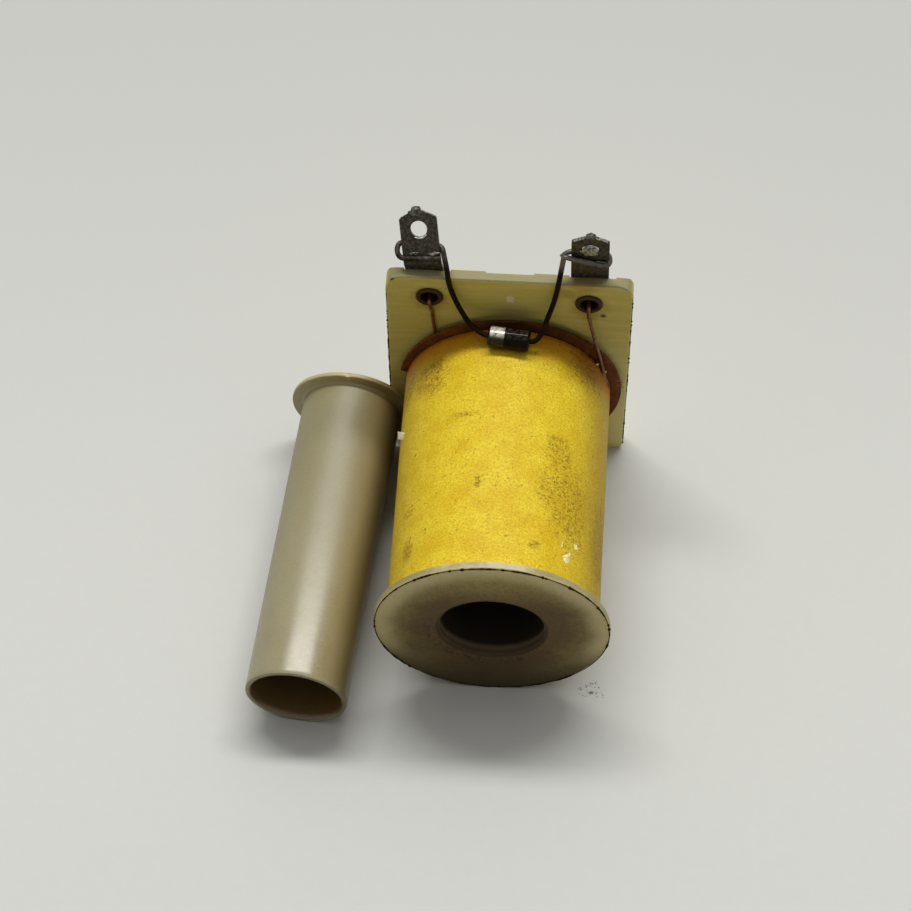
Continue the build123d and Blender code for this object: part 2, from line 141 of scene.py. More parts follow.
class Graph:
    """A tree of shader nodes."""

    def __init__(self, tree):
        self.tree = tree
        self.tree.nodes.clear()

    def node(self, kind, settings, inputs, out=0):
        """Adds a node, sets its settings and then its inputs, and wraps one of its outputs."""
        made = self.tree.nodes.new(kind)
        for key, value in settings.items():
            setattr(made, key, value)
        for key, value in inputs.items():
            socket = self.find(made.inputs, key)
            if isinstance(value, Wire):
                self.tree.links.new(value.socket, socket)
            else:
                socket.default_value = value
        return made if out is None else Wire(self, self.find(made.outputs, out))

    def find(self, sockets, key):
        """A socket by its number, by its identifier, or by the name of one that is in use."""
        if isinstance(key, int):
            return sockets[key]
        found = [s for s in sockets if s.identifier == key]
        return (found or [s for s in sockets if s.name == key and s.enabled])[0]

    def apart(self, vector):
        made = self.node("ShaderNodeSeparateXYZ", {}, {0: vector}, None)
        return [Wire(self, s) for s in made.outputs]

    def vector(self, operation, first, second=None, **named):
        inputs = {0: first, **named}
        if second is not None:
            inputs[1] = second
        out = "Value" if operation in ("LENGTH", "DOT_PRODUCT") else "Vector"
        return self.node("ShaderNodeVectorMath", {"operation": operation}, inputs, out)

    def ease(self, value, low, high, to_low=0.0, to_high=1.0):
        """Soft step: to_low where value is below low, to_high where it is above high."""
        inputs = {"Value": value, "From Min": low, "From Max": high,
                  "To Min": to_low, "To Max": to_high}
        settings = {"interpolation_type": "SMOOTHSTEP", "clamp": True}
        return self.node("ShaderNodeMapRange", settings, inputs, 0)

    def fall(self, value, low, high):
        """Soft step down: 1 where value is below low, 0 where it is above high."""
        return self.ease(value, low, high, 1.0, 0.0)

    def mix(self, share, first, second):
        inputs = {"Factor_Float": share, "A_Color": first, "B_Color": second}
        return self.node("ShaderNodeMix", {"data_type": "RGBA"}, inputs, "Result_Color")

    def layers(self, base, *coats):
        """Lays colours over a base in turn. A coat is its share from 0 to 1 and its code."""
        for share, code in coats:
            base = self.mix(share, base, colour(code))
        return base


print("graph helpers ready")

# %% [markdown]
# `Paint` is the graph of one material. It measures in millimetres of the part, so that a mask can
# be set on a place that was read from the part, and it adds cloudy noise, blots of dirt and the
# closing shader with its relief.
# %% Paint
class Paint(Graph):
    """The graph of one material, in millimetres of the part's own frame."""

    def __init__(self, name):
        self.material = bpy.data.materials.new(name)
        self.material.use_nodes = True
        super().__init__(self.material.node_tree)
        place = self.node("ShaderNodeTexCoord", {}, {}, "Object")
        self.place = self.vector("SCALE", place, Scale=1 / MM)
        self.x, self.y, self.z = self.apart(self.place)

    def facing(self):
        """The direction that the surface faces."""
        return self.node("ShaderNodeNewGeometry", {}, {}, "Normal")

    def noise(self, per_mm, detail=4.0, rough=0.55, stretch=None, seed=0.0):
        """Cloudy noise from 0 to 1. `stretch` squeezes the pattern along x, y and z.

        The odd shift keeps the faces at x, y or z = 0 off the flat planes of the noise.
        """
        at = self.place
        if stretch:
            at = self.vector("MULTIPLY", at, stretch)
        at = self.vector("ADD", at, (seed + 0.371, -seed - 0.613, 2 * seed + 0.257))
        inputs = {"Vector": at, "Scale": per_mm, "Detail": detail, "Roughness": rough}
        return self.node("ShaderNodeTexNoise", {}, inputs, "Fac")

    def spot(self, centre, radii, ragged=0.5, per_mm=1.2):
        """A blot round a point: 1 at its heart, 0 outside, with a ragged outline."""
        away = self.vector("SUBTRACT", self.place, centre)
        reach = self.vector("LENGTH", self.vector("DIVIDE", away, radii))
        reach = reach + (self.noise(per_mm) - 0.5) * (2 * ragged)
        return self.fall(reach, 0.35, 1.0)

    def spots(self, blots, ragged, per_mm):
        """Many blots, each a centre, radii and a strength. Where they meet, the stronger counts."""
        found = None
        for centre, radii, strength in blots:
            blot = self.spot(centre, radii, ragged, per_mm) * strength
            found = blot if found is None else found.larger(blot)
        return found

    def surface(self, base, rough, metal=0.0, height=None, relief=0.1, **fixed):
        """Closes the graph. `relief` is the height's depth in mm; `fixed` are constants."""
        inputs = {"Base Color": base, "Roughness": rough, "Metallic": metal}
        inputs.update({key.replace("_", " "): value for key, value in fixed.items()})
        if height is not None:
            bump = {"Height": height, "Strength": 1.0, "Distance": relief * MM, "Filter Width": 1.0}
            inputs["Normal"] = self.node("ShaderNodeBump", {}, bump, "Normal")
        shader = self.node("ShaderNodeBsdfPrincipled", {}, inputs, "BSDF")
        self.node("ShaderNodeOutputMaterial", {}, {"Surface": shader}, None)
        return self.material


print("paint helpers ready")

# %% [markdown]
# ## Table
# The part lies on a pale sheet that is far larger than the picture. The sheet is painted a little
# darker further back, a painted falloff of light as in a room with one lamp, and a few crumbs lie in
# front of the round flange.
# %% Table
TABLE_HALF = 6.0
TABLE_Z = -FLANGE_RADIUS * MM
CRUMBS = ((12.6, 0.2, -FLANGE_RADIUS), (2.6, 1.9, 2.0))


def link(name, mesh):
    made = bpy.data.objects.new(name, mesh)
    bpy.context.scene.collection.objects.link(made)
    return made


floor_mesh = bpy.data.meshes.new("table")
ends = [(-1, -1), (1, -1), (1, 1), (-1, 1)]
floor_mesh.from_pydata([(a * TABLE_HALF, b * TABLE_HALF, TABLE_Z) for a, b in ends], [], [range(4)])
floor = link("table", floor_mesh)
floor_paint = Paint("table_sheet")
grain = floor_paint.noise(0.8, 5.0, 0.6)
litter = floor_paint.spot(*CRUMBS, 0.5, 0.8)
crumb_noise = floor_paint.noise(2.0, 4.0, 0.7, seed=3.0)
crumb = floor_paint.ease(crumb_noise + litter * 0.12, 0.66, 0.70)
# The second coat is a painted falloff of light: the sheet is painted darker further back.
floor_shade = floor_paint.layers(
    floor_paint.mix(grain, colour("c7c8c4"), colour("cbccc8")),
    (floor_paint.ease(floor_paint.y, -20.0, 130.0), "b8b9b5"),
    (crumb * litter * 0.8, "4d463c"),
)
floor.data.materials.append(floor_paint.surface(floor_shade, 0.9, Specular_IOR_Level=0.1))
print("table at", round(TABLE_Z / MM, 2), "mm")

# %% [markdown]
# ## Light
# One long ceiling lamp hangs a little behind the part. That is why the shadows end in a crisp line
# towards the viewer and fade out sideways, and why every face that looks at the viewer is dark. A
# long, narrow area lamp gives this. The world adds a little plain light from above, and to the eye
# and in a reflection it shows as the colour of the sheet.
# %% Light
BACKDROP = colour("d7d8d3")
LAMP_LONG, LAMP_WIDE = 0.95, 0.11
LAMP_POWER = 8.15
LAMP_TILT = math.radians(23.0)


def backdrop_share(graph):
    """1 for rays from the eye, off gloss and through glass."""
    path = graph.node("ShaderNodeLightPath", {}, {}, None)
    rays = ("Is Camera Ray", "Is Glossy Ray", "Is Transmission Ray")
    from_eye, off_gloss, through = [Wire(graph, path.outputs[ray]) for ray in rays]
    return from_eye.larger(off_gloss).larger(through)


world = bpy.data.worlds.new("room")
bpy.context.scene.world = world
world.use_nodes = True
room = Graph(world.node_tree)
seen = room.node("ShaderNodeBackground", {}, {"Color": BACKDROP, "Strength": 0.95})
direction = room.apart(room.node("ShaderNodeTexCoord", {}, {}, "Generated"))
overhead = direction[2] * 0.9 + direction[1] * 0.35
sky = {"Color": (1.0, 0.99, 0.97, 1.0), "Strength": room.ease(overhead, 0.1, 1.0, 0.0, 0.85)}
felt = room.node("ShaderNodeBackground", {}, sky)
shown = room.node("ShaderNodeMixShader", {}, {0: backdrop_share(room), 1: felt, 2: seen})
room.node("ShaderNodeOutputWorld", {}, {"Surface": shown}, None)

lamp_data = bpy.data.lights.new("ceiling_lamp", "AREA")
lamp_data.shape = "RECTANGLE"
lamp_data.size = LAMP_LONG
lamp_data.size_y = LAMP_WIDE
lamp_data.energy = LAMP_POWER
lamp_data.color = (1.0, 0.995, 0.975)
lamp = link("ceiling_lamp", lamp_data)
lamp.location = (0.0, math.sin(LAMP_TILT), math.cos(LAMP_TILT))
lamp.rotation_euler = (-LAMP_TILT, 0.0, 0.0)
print("lamp at", [round(v, 3) for v in lamp.location])

# %% [markdown]
# ## Nylon of the bobbin
# Old natural nylon is a dull olive cream that lets some light through, so the thin terminal plate
# glows more yellow than the round flange; its colour is also painted more yellow, palest low on the
# right and greyer on its top face, which is a painted glow of that light and painted shade by the
# way each face turns. The flange's face is brown round the bore, where hands and grease reach it.
# It is painted darker than the pale, clean sides of the flange, partly as painted shade, and it is
# painted dark below and light at the top and along its rim: painted shade and painted light. The
# sides are painted darker away from the top, painted shade. Each of these is a mask made from the
# place on the part.
# %% Nylon of the bobbin
nylon = Paint("bobbin_nylon")
streaks = nylon.noise(0.5, 5.0, 0.6, (0.25, 1.0, 2.6))
cloud = nylon.noise(0.22, 4.0, 0.55, seed=3.0)
hatch = nylon.noise(2.4, 5.0, 0.8, seed=15.0)
from_axis = nylon.vector("LENGTH", nylon.vector("MULTIPLY", nylon.place, (1.0, 0.0, 1.0)))
greasy = nylon.fall(from_axis + (cloud - 0.5) * 5.0, 7.8, 12.4)
lit_outer_ring = nylon.ease(from_axis + (cloud - 0.5) * 1.5, 10.8, 13.8)
# The face is painted lighter at the top and along its rim (painted light) and darker below (painted
# shade).
face_shade = nylon.layers(
    nylon.mix(cloud, colour("7d6d3a"), colour("94844f")),
    (greasy * 0.88, "604723"),
    (nylon.ease(nylon.z, 4.5, 13.5) * 0.8, "b09c58"),
    (nylon.ease(nylon.z, -2.0, -13.0) * 0.85, "382c15"),
    (nylon.ease(hatch, 0.44, 0.62) * 0.34, "43341a"),
    (lit_outer_ring * nylon.ease(nylon.z, -9.0, -1.5) * 0.75, "e2d39c"),
)
# The rim is painted darker towards its left and right, painted shade where it turns from the lamp.
rim_shade = nylon.layers(
    nylon.mix(nylon.ease(cloud, 0.4, 0.62), colour("c2ba98"), colour("a1976c")),
    (nylon.ease(nylon.x.size(), 3.0, 11.0) * 0.6, "8b8257"),
)
# The plate is painted more yellow than the flange and palest low on the right, a painted glow of
# light shining through the thin nylon; it is also paler lower down. Its top face is painted greyer
# than its front: painted light and shade by the way each face turns.
glow_low_right = nylon.ease(nylon.x, 4.0, 14.0) * nylon.ease(nylon.z, 16.0, -6.0)
facing_up = nylon.apart(nylon.facing())[2]
plate_shade = nylon.layers(
    nylon.mix(nylon.ease(streaks, 0.25, 0.75), colour("c8b962"), colour("d6c977")),
    (nylon.fall(nylon.z, -12.0, 8.0) * 0.5, "d8cb95"),
    (nylon.ease(facing_up, 0.15, 0.6), "918a62"),
    (glow_low_right * 0.8, "f6eaa2"),
)
shade = nylon.mix(nylon.ease(nylon.y, 0.12, 0.3), face_shade, rim_shade)
shade = nylon.mix(nylon.ease(nylon.y, 2.0, 20.0), shade, plate_shade)
print("clean bobbin:", len(nylon.tree.nodes), "nodes")

# %% [markdown]
# Years of dirt sit round the eyelets and round the mouth of the bore. The lip of the bore is
# painted dark, and the bore brown and almost black further in, which is painted shade in the hole.
# The pale dot between the eyelets is where the nylon was fed into the mould. The bore keeps the fine
# rings of its drill, which are a sine along its axis in the relief.
# %% Dirt on the bobbin
EYELET_STAINS = [
    ((-9.7, 36.0, 17.2), (3.2, 3.0, 3.0), 1.0),
    ((9.7, 36.0, 17.0), (3.2, 3.0, 3.2), 1.0),
    ((7.2, 36.0, 19.6), (1.4, 3.0, 1.4), 1.0),
    ((9.0, 36.6, 21.4), (2.8, 3.0, 2.8), 1.0),
]
DARK_SPECK = ((11.5, 36.0, 15.3), (0.55, 1.0, 0.5))
MOULD_GATE = ((0.15, 36.0, 17.95), (0.75, 1.0, 0.75))
brown_tint = nylon.spots(EYELET_STAINS, 0.4, 0.6)
grit = nylon.ease(nylon.noise(2.6, 6.0, 0.72, seed=7.0), 0.56, 0.70)
flecks = nylon.ease(nylon.noise(2.2, 4.0, 0.7, seed=21.0), 0.50, 0.57)
mouth = nylon.fall((from_axis - (BORE_RADIUS + 1.2)).size(), 0.2, 1.1)
low_left = nylon.ease(nylon.x * 0.6 + nylon.z, -1.0, -6.0)
on_front = nylon.fall(nylon.y, 0.5, 0.9)
in_bore = nylon.fall(from_axis, BORE_RADIUS + 0.2, BORE_RADIUS + 0.5)
lip_ring = nylon.fall((from_axis - (BORE_RADIUS + 0.15)).size(), 0.15, 0.4)
front_lip = lip_ring * nylon.fall(nylon.y, 0.6, 1.2)
# The last three coats paint the bore brown and its lip and deep end dark: painted shade in the hole.
shade = nylon.layers(
    shade,
    (brown_tint * 0.38, "7b4f16"),
    (nylon.spot(*DARK_SPECK, 0.35, 3.0) * 0.85, "3a2410"),
    (nylon.spot(*MOULD_GATE, 0.7, 2.5) * 0.75, "efe9c4"),
    (grit * 0.16 + flecks * mouth * low_left * on_front * 0.8, "231a0c"),
    (in_bore * 0.85, "7d664a"),
    (front_lip * 0.6, "1c140a"),
    (in_bore * nylon.ease(nylon.y, 0.8, 1.8) * 0.93, "140d06"),
)
drill_rings = (nylon.y * 9.0).sine() * in_bore * 0.22
bobbin_nylon = nylon.surface(
    shade, 0.46 + 0.2 * cloud + 0.4 * front_lip,
    height=nylon.noise(3.0, 2.0, 0.6) + streaks * 0.3 + drill_rings, relief=0.03,
    Subsurface_Weight=0.3, Subsurface_Scale=1.1 * MM, Subsurface_Radius=(1.0, 0.8, 0.35),
    Specular_IOR_Level=0.22,
)
print("bobbin finish:", len(nylon.tree.nodes), "nodes")

# %% [markdown]
# ## Nylon of the sleeve
# The sleeve is a thinner, glossier tube of the same kind of nylon. It shows a long highlight, which
# is sharper near its open end and broken up by fine scratches there; pale specks are also painted
# along that line, a painted highlight. Its side towards the coil is painted yellower, a painted
# reflection of the yellow wrapper, and darker at its edge and on that side of the lip, painted shade
# from the coil. Inside it is painted a darker brown.
# %% Nylon of the sleeve
tube = Paint("sleeve_nylon")
cloud = tube.noise(0.25, 4.0, 0.5)
waves = tube.noise(0.9, 2.0, 0.5, (1.0, 2.2, 1.0), seed=3.0)
scratches = tube.noise(2.6, 3.0, 0.7, (1.0, 1.8, 1.0), seed=6.0)
grit = tube.ease(tube.noise(2.4, 6.0, 0.72, seed=4.0), 0.58, 0.70)
from_end = tube.vector("SUBTRACT", tube.place, tuple(SLEEVE_END))
along = tube.vector("DOT_PRODUCT", from_end, tuple(SLEEVE_AXIS))
on_axis = tube.vector("SCALE", tuple(SLEEVE_AXIS), Scale=along)
outwards = tube.vector("SUBTRACT", from_end, on_axis)
from_axis = tube.vector("LENGTH", outwards)
side_x = tube.apart(outwards)[0]
on_lip = tube.ease(along, LIP_START - 0.72, LIP_START - 0.02)
# The lip is painted darker on its side towards the coil: painted shade.
shaded_lip_side = tube.ease(along, LIP_START - 0.82, LIP_START + 0.08) * tube.ease(side_x, -1.0, 5.0)
inside = tube.fall(from_axis, TUBE_BORE + 0.01, TUBE_BORE + 0.25)
outside = tube.ease(from_axis, TUBE_BORE + 0.25, TUBE_OUTSIDE - 0.13)
# highlight_line follows the long highlight; the pale specks painted along it are a painted
# highlight.
highlight_line = tube.fall((side_x - 0.9).size(), 1.2, 2.8) * tube.fall(along, 3.0, 17.0) * outside
# Towards the coil the sleeve is painted yellower, a painted reflection of the wrapper, and darker at
# its edge, painted shade.
shade = tube.layers(
    tube.mix(cloud, colour("8b8262"), colour("999070")),
    (tube.ease(along, 14.0, 40.0) * 0.5, "7f7650"),
    (tube.ease(side_x, 1.0, 6.4) * 0.7, "94804a"),
    (tube.ease(side_x, 3.6, 6.1) * 0.62, "46381a"),
    (on_lip * 0.7, "bcad78"),
    (shaded_lip_side * 0.6, "57411d"),
    (grit * 0.16, "4b3c1c"),
    (inside * 0.85, "6b4e22"),
    (highlight_line * tube.ease(scratches, 0.5, 0.62) * 0.22, "bdb594"),
    (tube.ease(scratches, 0.5, 0.38) * 0.16, "6a6144"),
)
gloss_lost = tube.ease(along, 0.0, 26.0, 0.26, 0.44)
sleeve_nylon = tube.surface(
    shade, gloss_lost + 0.06 * waves + 0.22 * highlight_line * (scratches - 0.5),
    height=waves, relief=0.006,
    Subsurface_Weight=0.15, Subsurface_Scale=0.8 * MM, Subsurface_Radius=(1.0, 0.8, 0.4),
    Specular_IOR_Level=0.62,
)
print("sleeve finish:", len(tube.tree.nodes), "nodes")

# %% [markdown]
# ## Yellow paper
# The wrapper is smooth yellow paper with a fine grain. Its flanks are painted darker, most on the
# right, which is painted shade where the round sheet turns from the lamp. Along the edge next to the
# plate it is painted brown, partly browned by heat and partly painted shade under the plate.
# Handling has rubbed dirt into it in patches.
# Each patch, a place, a size and a strength, raises the chance of a speck there.
# %% Yellow paper
COARSE_PATCH = ((-9.4, 29.9, 8.6), (4.6, 3.4, 5.0))
PATCHES = [
    ((-12.0, 31.0, 4.1), (3.0, 3.5, 5.0), 0.8),
    ((9.6, 32.4, 8.4), (4.6, 4.2, 5.0), 0.85),
    ((8.4, 12.2, 9.5), (4.2, 8.6, 4.6), 0.78),
    ((6.0, 13.2, 11.2), (2.8, 4.4, 2.2), 0.6),
    ((7.2, 18.0, 10.5), (3.6, 3.0, 2.6), 0.75),
    ((-4.9, 22.9, 11.7), (3.4, 0.6, 2.0), 0.7),
    ((-10.4, 5.8, 7.4), (1.2, 2.2, 1.6), 1.1),
    ((-2.5, 13.0, 12.5), (0.5, 1.5, 0.8), 0.9),
    ((12.2, 10.0, 3.6), (2.5, 8.0, 4.0), 0.8),
    ((-10.7, 11.3, 7.0), (2.0, 0.8, 1.6), 0.7),
    ((4.6, 5.0, 11.9), (1.2, 0.9, 0.8), 0.8),
]
paper = Paint("yellow_paper")
blotch = paper.noise(0.30, 5.0, 0.6, seed=2.0)
fibre = paper.noise(4.0, 6.0, 0.7)
grain = paper.noise(4.2, 4.0, 0.8, seed=1.0)
soiled = paper.spot(*COARSE_PATCH, 0.45, 0.5).larger(paper.spots(PATCHES, 0.45, 0.8))
browned_and_shaded = paper.ease(paper.y + (blotch - 0.5) * 4.0, 30.6, 34.4)
# The two coats on the flanks are painted shade; browned_and_shaded is heat browning and painted
# shade.
base = paper.layers(
    paper.mix(paper.ease(blotch, 0.3, 0.7), colour("d3b117"), colour("e3c92d")),
    (paper.ease(paper.z, 11.5, 3.0) * 0.30, "b08c10"),
    (paper.ease(paper.x, 8.5, 12.4) * 0.45, "9c7c14"),
    (paper.ease(grain, 0.46, 0.62) * 0.42, "a07c10"),
    (paper.ease(grain, 0.46, 0.34) * 0.35, "f6e45a"),
    (browned_and_shaded * 0.75, "ba640e"),
)
print("clean paper:", len(paper.tree.nodes), "nodes")

# %% [markdown]
# The specks are the peaks of a fine noise that has been squeezed along the axis, so they look like
# short fibres of dirt. A lower threshold gives many pale ones and a higher one a few dark ones. A
# finger has left one smear, and the glue of the torn edge one brown stain.
# %% Dirt on the paper
BROWN_STAIN = ((10.3, 33.4, 7.2), (4.2, 3.2, 5.2))
SMEAR = ((6.9, 20.2, 10.7), (2.6, 1.2, 2.2))
worm = paper.noise(2.3, 8.0, 0.8, (1.0, 1.5, 1.0), seed=23.0)
field = worm + (soiled * 0.105 + (blotch - 0.5) * 0.16)
fleck = paper.ease(paper.noise(1.3, 3.0, 0.6, seed=9.0), 0.67, 0.70)
smear_noise = paper.noise(2.2, 6.0, 0.75, (1.6, 0.6, 1.0), seed=12.0)
smear = paper.spot(*SMEAR, 0.8, 1.5) * paper.ease(smear_noise, 0.40, 0.62)
base = paper.layers(
    base,
    (paper.spot(*BROWN_STAIN, 0.7, 0.7) * 0.48, "8a4e12"),
    (soiled * 0.24, "9c7412"),
    (paper.ease(field, 0.54, 0.635) * 0.46, "82560b"),
    (smear * 0.7, "4f3409"),
    (paper.ease(field, 0.615, 0.67) * 0.5, "4c2f07"),
    (fleck * 0.5, "533708"),
    (paper.ease(paper.y, 1.9, 1.25) * 0.5, "8a6a12"),
)
yellow_paper = paper.surface(
    base, 0.50 + 0.12 * fibre, height=fibre + blotch * 0.8 + grain * 0.5, relief=0.08,
    Specular_IOR_Level=0.18,
)
print("paper finish:", len(paper.tree.nodes), "nodes")

# %% [markdown]
# ## Small finishes
# The small parts share one recipe: two shades of the same finish mixed by cloudy noise, a roughness
# and a relief. The numbers after the two colours are the noise's scale, the roughness, how metallic
# it is and, where it isn't the usual one, the relief.
# %% Small finishes
def worn(name, first, second, per_mm, rough, metal, relief=0.02, **fixed):
    paint = Paint(name)
    patch = paint.noise(per_mm, 5.0, 0.62)
    fine_patch = paint.noise(per_mm * 4.0, 4.0, 0.6, seed=6.0)
    shade = paint.mix(paint.ease(patch, 0.35, 0.65), colour(first), colour(second))
    return paint.surface(shade, rough - 0.1 + 0.25 * fine_patch, metal, patch + fine_patch, relief,
                         **fixed)


eyelet_finish = worn("eyelet_metal", "28170a", "3d2610", 1.8, 0.5, 0.2, Specular_IOR_Level=0.3)
copper = worn("copper_enamel", "5a3318", "8a5a34", 1.6, 0.36, 0.5)
solder_finish = worn("solder", "3e3c38", "6c6a65", 2.2, 0.38, 0.85, 0.05)
plug_finish = worn("solder_in_hole", "4a4843", "aaa7a0", 2.6, 0.35, 0.6, 0.06)
bright_solder = worn("bright_solder", "a9a8a2", "d2d1cc", 2.2, 0.30, 0.85, 0.05)
die_finish = worn("silicon", "3a3a3c", "4a4a4e", 2.0, 0.3, 0.8)
flash_finish = worn("mould_flash", "1d170b", "352c17", 2.0, 0.7, 0.0, 0.03, Specular_IOR_Level=0.1)
fray_finish = worn("washer_fray", "8a6a35", "b59355", 3.0, 0.8, 0.0, 0.04)
torn_white = worn("torn_paper", "cfc59a", "ece6cf", 2.5, 0.8, 0.0, 0.05)
scuff_finish = worn("scuffed_paper", "dcca78", "f3e9b4", 2.5, 0.8, 0.0, 0.06)
print("small finishes: 10")

# %% [markdown]
# ## Washer, lugs and leads
# These need a mask of their own. The fibre washer is painted darkest at the top on the right,
# painted shade behind the diode. The lugs are tarnished almost black; high up, the faces that look
# up towards the lamp are painted brighter in patches, a painted highlight. The diode's leads are
# dark wire, and tinned where they were dipped in solder.
# %% Washer, lugs and leads
board = Paint("fibre_board")
patch = board.noise(1.0, 5.0, 0.62)
hair = board.noise(4.0, 4.0, 0.6, (1.0, 0.5, 1.0), seed=6.0)
# Painted shade behind the diode: the top of the washer on the right is painted darker.
shade_behind_diode = board.ease(board.z, 7.5, 13.0) * board.ease(board.x, -8.0, -2.0)
shade = board.layers(
    board.mix(board.ease(patch, 0.35, 0.65), colour("5c2d0a"), colour("7a4411")),
    (shade_behind_diode * 0.6, "261505"),
)
fibre_board = board.surface(shade, 0.55 + 0.25 * hair, height=patch + hair, relief=0.03,
                            Specular_IOR_Level=0.2)

lugs = Paint("tarnished_lug")
patch = lugs.noise(2.4, 6.0, 0.7)
stain = lugs.noise(0.8, 4.0, 0.6, seed=8.0)
upwards = lugs.vector("DOT_PRODUCT", lugs.facing(), (0.0, 0.5, 0.866))
# Faces turned up towards the lamp are painted brighter in patches: a painted highlight.
rubbed_and_lit = lugs.ease(upwards, 0.6, 0.8) * lugs.ease(patch, 0.40, 0.55)
shade = lugs.layers(
    lugs.mix(lugs.ease(patch, 0.38, 0.62), colour("1d1a14"), colour("4e483e")),
    (lugs.ease(stain, 0.5, 0.7) * 0.4, "2f1d14"),
    (rubbed_and_lit * lugs.ease(lugs.z, 24.5, 26.0) * 0.8, "9a968c"),
)
tarnish = lugs.surface(shade, 0.38 + 0.25 * patch, 0.35, patch, 0.03, Specular_IOR_Level=0.35)

leads = Paint("lead_metal")
patch = leads.noise(1.4, 5.0, 0.6)
tinned = leads.ease(leads.z + (patch - 0.5) * 3.0, 23.2, 25.2)
shade = leads.layers(
    leads.mix(leads.ease(patch, 0.35, 0.65), colour("140c06"), colour("281b10")),
    (tinned * 0.85, "6a665f"),
)
lead_finish = leads.surface(shade, 0.5 - 0.2 * tinned + 0.1 * patch, 0.05 + 0.55 * tinned, patch,
                            0.02, Specular_IOR_Level=0.04)
print("washer, lug and lead finishes ready")

# %% [markdown]
# ## Diode
# The diode is a black moulded cylinder with a silver band near one end. The band is measured along
# the diode's own axis, which leans 6 degrees. Both the band and the body are painted lighter on top:
# a painted highlight, broken up by the wear noise.
# %% Diode
DIODE_CENTRE = Vector((0.20, 32.90, 14.11))
DIODE_TURN = math.radians(-6.0)
DIODE_AXIS = Vector((math.cos(DIODE_TURN), math.sin(DIODE_TURN), 0.0))
BAND_AT = -1.47
BAND_HALF = 0.935
mould = Paint("diode_mould")
from_centre = mould.vector("SUBTRACT", mould.place, tuple(DIODE_CENTRE))
along = mould.vector("DOT_PRODUCT", from_centre, tuple(DIODE_AXIS))
band = mould.fall((along - BAND_AT).size(), BAND_HALF - 0.035, BAND_HALF + 0.035)
wear = mould.noise(3.0, 5.0, 0.7, (0.6, 1.0, 1.0))
# The top of the band and the body is painted lighter: a painted highlight.
top_sheen = mould.ease(mould.apart(mould.facing())[2], 0.72, 0.95)
band_shade = mould.layers(
    mould.mix(mould.ease(wear, 0.35, 0.7), colour("423c31"), colour("120e0a")),
    (top_sheen * mould.ease(wear, 0.3, 0.6), "cfccc2"),
)
body_shade = mould.layers(
    colour("050200"),
    (top_sheen * mould.ease(wear, 0.40, 0.62) * 0.45, "4a443b"),
)
shade = mould.mix(band * 0.95, body_shade, band_shade)
diode_finish = mould.surface(shade, 0.10 + 0.2 * band + 0.08 * wear, band * 0.35, wear, 0.008,
                             Specular_IOR_Level=0.09)
print("diode finish:", len(mould.tree.nodes), "nodes")

# %% [markdown]
# ## Finishes on the solids
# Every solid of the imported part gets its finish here. What isn't in the list is solder, or gives
# way to a mesh of its own further down.
# %% Finishes on the solids
FINISHES = {
    "bobbin": bobbin_nylon,
    "sleeve": sleeve_nylon,
    "winding": copper,
    "fibre_washer": fibre_board,
    "lug_left": tarnish,
    "lug_right": tarnish,
    "eyelet_left": eyelet_finish,
    "eyelet_right": eyelet_finish,
    "start_lead": copper,
    "finish_lead": copper,
    "diode_body": diode_finish,
    "diode_die": die_finish,
}
for name, made in nodes.items():
    made.data.materials.clear()
    made.data.materials.append(FINISHES.get(name, solder_finish))
print("finishes on", len(nodes), "solids")

# %% [markdown]
# ## Softer edges
# A sharp CAD edge never catches the light, while a real stamped edge is always a little round and
# shows as a thin bright line. The solids' own meshes may not change, but a modifier may sit on top:
# Weld joins the corners that the file format splits, and Bevel rounds the edges.
# %% Softer edges
EDGE_WIDTHS = {"lug_left": 0.07, "lug_right": 0.07, "fibre_washer": 0.05, "diode_body": 0.05}
for name, width in EDGE_WIDTHS.items():
    weld = nodes[name].modifiers.new("weld", "WELD")
    weld.merge_threshold = 0.002 * MM
    bevel = nodes[name].modifiers.new("round_edges", "BEVEL")
    bevel.width = width * MM
    bevel.segments = 2
    bevel.limit_method = "ANGLE"
    bevel.angle_limit = math.radians(32)
print("rounded edges on", ", ".join(EDGE_WIDTHS))

# %% [markdown]
# ## Helpers that make meshes
# Three kinds of shape are needed: a round bar along a bent path for wires and ragged edges, a thin
# irregular flake for torn paper, and a dome for solder. All points are in millimetres of the part's
# frame, so a place measured on the part can be typed in as it is.
# %% New piece
def put(name, points, faces, finish, smooth=True, body="coil"):
    """Makes a piece from points in millimetres, which rides with one of the frame's bodies."""
    mesh = bpy.data.meshes.new(name)
    mesh.from_pydata([Vector(p) * MM for p in points], [], faces)
    mesh.validate()
    mesh.materials.append(finish)
    mesh.polygons.foreach_set("use_smooth", [smooth] * len(mesh.polygons))
    made = link(name, mesh)
    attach(made, body)
    return made


print("pieces made from points are ready")

# %% [markdown]
# A bar is a ring of points at every place of its path. Each ring takes its sideways direction from
# the ring before, so that the bar doesn't twist where the path bends.
# %% Bars along a path
def rounded(points, times=3):
    """Cuts the corners of a path again and again, which leaves a smooth curve."""
    points = [Vector(p) for p in points]
    for _ in range(times):
        cut = [points[0]]
        for a, b in zip(points, points[1:]):
            cut += [a.lerp(b, 0.25), a.lerp(b, 0.75)]
        points = cut + [points[-1]]
    return points


